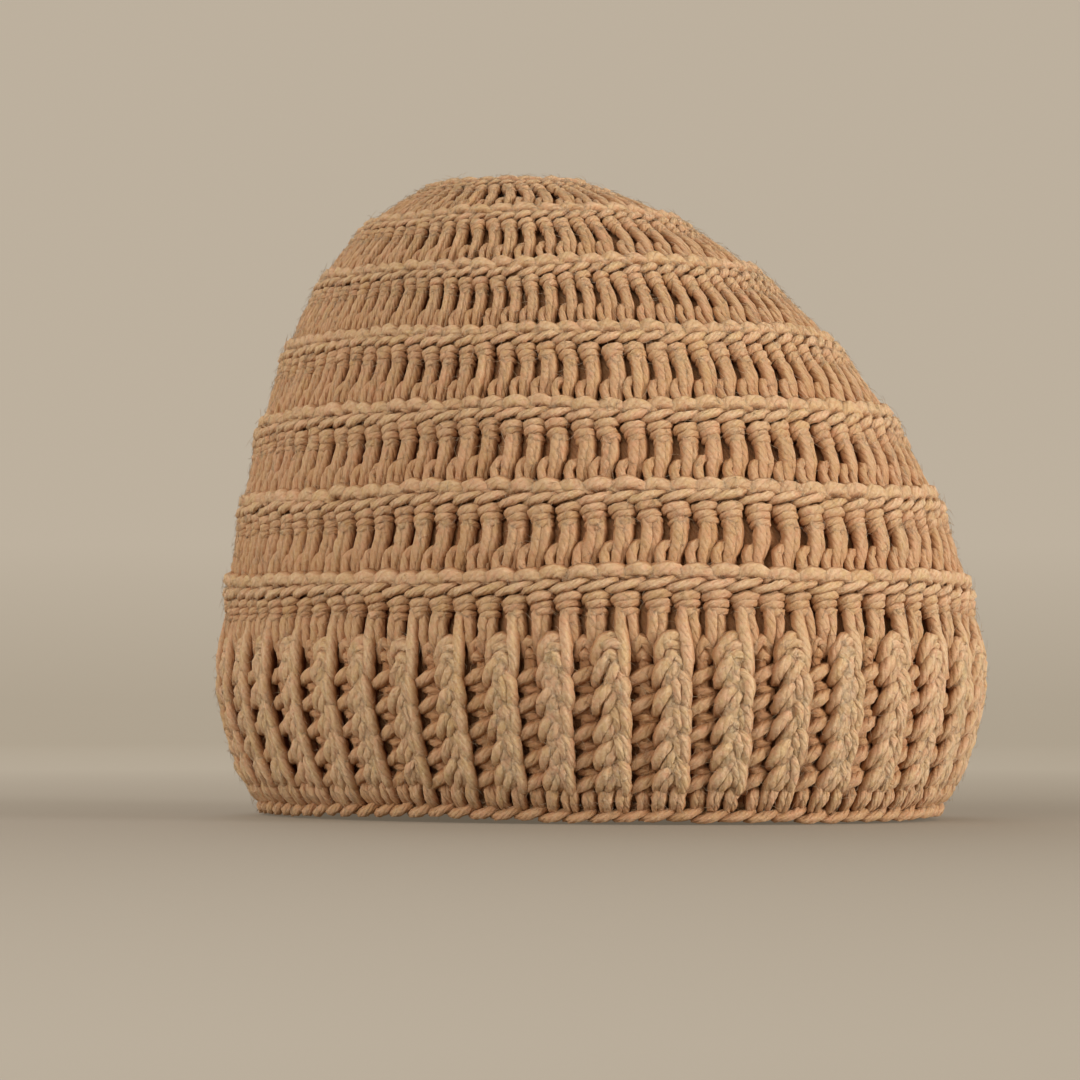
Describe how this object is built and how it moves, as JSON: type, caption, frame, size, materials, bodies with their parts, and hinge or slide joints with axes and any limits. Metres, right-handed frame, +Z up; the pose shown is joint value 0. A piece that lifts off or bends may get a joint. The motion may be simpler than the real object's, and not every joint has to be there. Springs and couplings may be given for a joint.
{
  "type": "crochet beanie",
  "caption": "Hollow crocheted beanie with raised ridges round the crown and body, an upright ribbed brim and an edge round.",
  "frame": {"origin": "centre of the rim's oval, on the surface that the hat stands on", "axes": "+Z up through the hat, -Y towards the front over the forehead, +X to the wearer's left"},
  "size_m": [0.1586, 0.21, 0.1598],
  "materials": {
    "yarn": "matt plied camel yarn"
  },
  "bodies": {
    "root": {"crown": "yarn", "upper_body": "yarn", "lower_body": "yarn", "ribbed_brim": "yarn", "edge_round": "yarn"}
  },
  "joints": []
}
